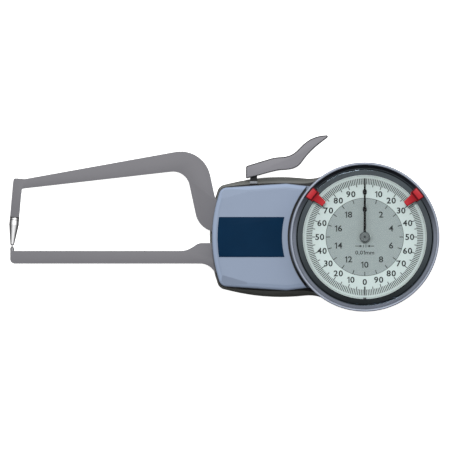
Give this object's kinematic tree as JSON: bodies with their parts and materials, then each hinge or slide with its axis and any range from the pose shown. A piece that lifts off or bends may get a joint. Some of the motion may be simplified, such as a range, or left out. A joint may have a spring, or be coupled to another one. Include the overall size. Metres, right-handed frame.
{
  "type": "dial caliper gauge",
  "caption": "Hand-held dial caliper gauge: a thumb lever opens a pivoting arm against a fixed anvil arm, and a gear train turns the hands under a crystal in a rotating bezel.",
  "frame": {"origin": "on the dial's axis, in the plane of the flat back", "axes": "+Z along the dial's axis out of the dial, -X along the arms to the contact tip, +Y to the thumb lever"},
  "size_m": [0.185, 0.0759, 0.0309],
  "materials": {
    "rear_paint": "satin dark grey paint",
    "cover_paint": "satin blue-grey paint",
    "label_navy": "semi-gloss navy print",
    "rubber_black": "matt black",
    "screw_steel": "turned steel",
    "plate_steel": "fine brushed",
    "arm_grey": "grey anodised satin",
    "anvil_steel": "hardened steel",
    "tip_chrome": "polished",
    "lever_grey": "blasted satin",
    "stem_black": "black oxide",
    "train_brass": "turned brass",
    "hairspring_blue": "blued steel",
    "bezel_metal": "satin blue-grey paint",
    "ring_black": "matt black",
    "crystal_clear": "clear acrylic",
    "dial_white": "matt white",
    "hand_black": "matt black",
    "cap_grey": "satin",
    "marker_red": "semi-gloss red"
  },
  "bodies": {
    "housing": {"rear_housing": "rear_paint", "front_cover": "cover_paint", "label_plate": "label_navy", "housing_gasket": "rubber_black", "cover_screws": "screw_steel", "base_plate": "plate_steel", "base_plate_screws": "screw_steel", "fixed_arm": "arm_grey", "anvil": "anvil_steel", "fixed_arm_screws": "screw_steel", "fixed_arm_dowels": "plate_steel", "fixed_arm_seal": "rubber_black", "lever_seal": "rubber_black", "pivot_bridge": "plate_steel", "bridge_pillars": "plate_steel", "bridge_screws": "screw_steel", "rear_pivot_bush": "train_brass", "front_pivot_bush": "train_brass", "movement_plate": "plate_steel", "movement_pillars": "plate_steel", "movement_screws": "screw_steel", "arbor_bushes": "train_brass", "spring_post": "plate_steel", "return_spring": "plate_steel", "hairspring_stud": "plate_steel", "hairspring": "hairspring_blue", "open_stop_pin": "plate_steel", "bezel_o_ring": "rubber_black", "bezel_snap_ring": "plate_steel"},
    "moving_arm": {"moving_arm": "arm_grey", "contact_tip": "tip_chrome", "pivot_shaft": "plate_steel", "sector_gear": "train_brass", "sector_screws": "screw_steel", "spring_pin": "plate_steel", "lever_stem": "stem_black", "lever": "lever_grey", "lever_screws": "screw_steel"},
    "first_arbor": {"first_arbor": "plate_steel", "first_wheel": "train_brass", "hairspring_collet": "train_brass"},
    "millimetre_hand": {"hand_pipe": "train_brass", "pipe_wheel": "train_brass", "short_hand": "hand_black"},
    "second_arbor": {"second_arbor": "plate_steel", "second_wheel": "train_brass"},
    "pointer": {"centre_arbor": "plate_steel", "long_hand": "hand_black", "hand_cap": "cap_grey"},
    "bezel": {"bezel": "bezel_metal", "dial_ring": "ring_black", "crystal_gasket": "rubber_black", "crystal": "crystal_clear", "dial_face": "dial_white", "dial_screws": "screw_steel"},
    "left_marker": {"left_tolerance_marker": "marker_red"},
    "right_marker": {"right_tolerance_marker": "marker_red"}
  },
  "joints": [
    {"name": "arm_pivot", "type": "hinge", "parent": "housing", "child": "moving_arm", "pos_m": [-0.0456, 0.002, 0.0101], "axis": [0, 0, -1], "range_deg": [0, 10.8], "stiffness_Nm_per_rad": 0.4, "springref_deg": -17.19, "deforming": ["return_spring"]},
    {"name": "first_arbor_turn", "type": "hinge", "parent": "housing", "child": "first_arbor", "pos_m": [-0.00452, -0.01014, 0.013], "axis": [0, 0, -1], "range_deg": [-173.3, 0], "deforming": ["hairspring"]},
    {"name": "millimetre_hand_turn", "type": "hinge", "parent": "housing", "child": "millimetre_hand", "pos_m": [0, 0, 0.018], "axis": [0, 0, -1], "range_deg": [0, 360.5]},
    {"name": "second_arbor_turn", "type": "hinge", "parent": "housing", "child": "second_arbor", "pos_m": [0.0039, 0.00675, 0.013], "axis": [0, 0, -1], "range_deg": [-1200.5, 0]},
    {"name": "pointer_turn", "type": "hinge", "parent": "housing", "child": "pointer", "pos_m": [0, 0, 0.016], "axis": [0, 0, -1], "range_deg": [0, 3600.5]},
    {"name": "bezel_turn", "type": "hinge", "parent": "housing", "child": "bezel", "pos_m": [0, 0, 0.024], "axis": [0, 0, 1], "continuous": true},
    {"name": "left_marker_turn", "type": "hinge", "parent": "bezel", "child": "left_marker", "pos_m": [0, 0, 0.03], "axis": [0, 0, 1], "range_deg": [-45, 122]},
    {"name": "right_marker_turn", "type": "hinge", "parent": "bezel", "child": "right_marker", "pos_m": [0, 0, 0.03], "axis": [0, 0, 1], "range_deg": [-122, 45]}
  ],
  "couplings": [
    {"joint": "first_arbor_turn", "follows": "arm_pivot", "ratio": -16},
    {"joint": "millimetre_hand_turn", "follows": "arm_pivot", "ratio": 33.333},
    {"joint": "second_arbor_turn", "follows": "arm_pivot", "ratio": -111.11},
    {"joint": "pointer_turn", "follows": "arm_pivot", "ratio": 333.33}
  ]
}
